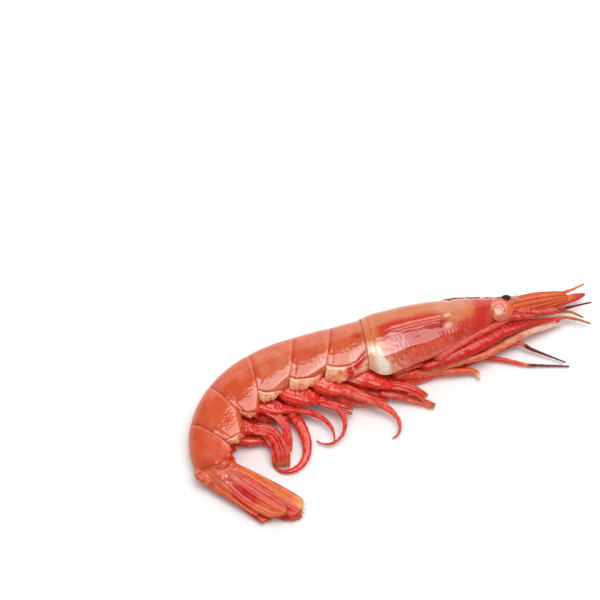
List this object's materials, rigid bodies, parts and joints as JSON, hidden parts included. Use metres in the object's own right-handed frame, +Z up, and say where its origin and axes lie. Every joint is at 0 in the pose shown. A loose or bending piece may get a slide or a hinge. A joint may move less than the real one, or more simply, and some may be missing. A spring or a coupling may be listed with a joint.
{
  "type": "prawn",
  "caption": "A whole cooked red prawn lying on its side with its tail curled under, with shell, legs, swimming legs, tail fan, feelers and eyes",
  "frame": {"origin": "the middle of the prawn's box, on the surface it lies on", "axes": "+X towards the head, +Y towards the prawn's back at the head, +Z up, which is the prawn's right side"},
  "size_m": [0.1341, 0.0812, 0.0191],
  "materials": {
    "head_shell": "wet cooked shell, glossy",
    "tail_shell": "wet cooked shell, glossy",
    "tail_fan": "thin orange shell, satin",
    "limb_red": "deep red shell, glossy",
    "limb_pale": "pale orange shell, satin",
    "cornea": "black, wet"
  },
  "bodies": {
    "root": {"carapace": "head_shell", "eye_stalk_right": "head_shell", "eye_stalk_left": "head_shell", "leg_1_right": "limb_red", "somite_1": "tail_shell", "somite_2": "tail_shell", "somite_3": "tail_shell", "somite_4": "tail_shell", "somite_5": "tail_shell", "somite_6": "tail_shell", "telson": "tail_fan", "uropod_endopod_right": "tail_fan", "uropod_exopod_right": "tail_fan", "uropod_endopod_left": "tail_fan", "uropod_exopod_left": "tail_fan", "scale_right": "tail_fan", "pleopod_1_right": "limb_red", "pleopod_2_right": "limb_red", "pleopod_3_right": "limb_red", "pleopod_4_right": "limb_red", "pleopod_5_right": "limb_red", "pleopod_1_left": "limb_red", "pleopod_2_left": "limb_red", "pleopod_3_left": "limb_red", "pleopod_4_left": "limb_red", "pleopod_5_left": "limb_red", "maxilliped_right": "limb_red", "maxilliped_left": "limb_red", "leg_3_right": "limb_red", "leg_3_left": "limb_red", "scale_left": "limb_red", "antenna_right": "limb_red", "antenna_left": "limb_red", "antennule_right": "limb_red", "antennule_left": "limb_red", "leg_2_right": "limb_pale", "leg_5_right": "limb_pale", "leg_4_right": "limb_pale", "leg_1_left": "limb_pale", "leg_2_left": "limb_pale", "leg_4_left": "limb_pale", "leg_5_left": "limb_pale", "cornea_right": "cornea", "cornea_left": "cornea"}
  },
  "joints": []
}
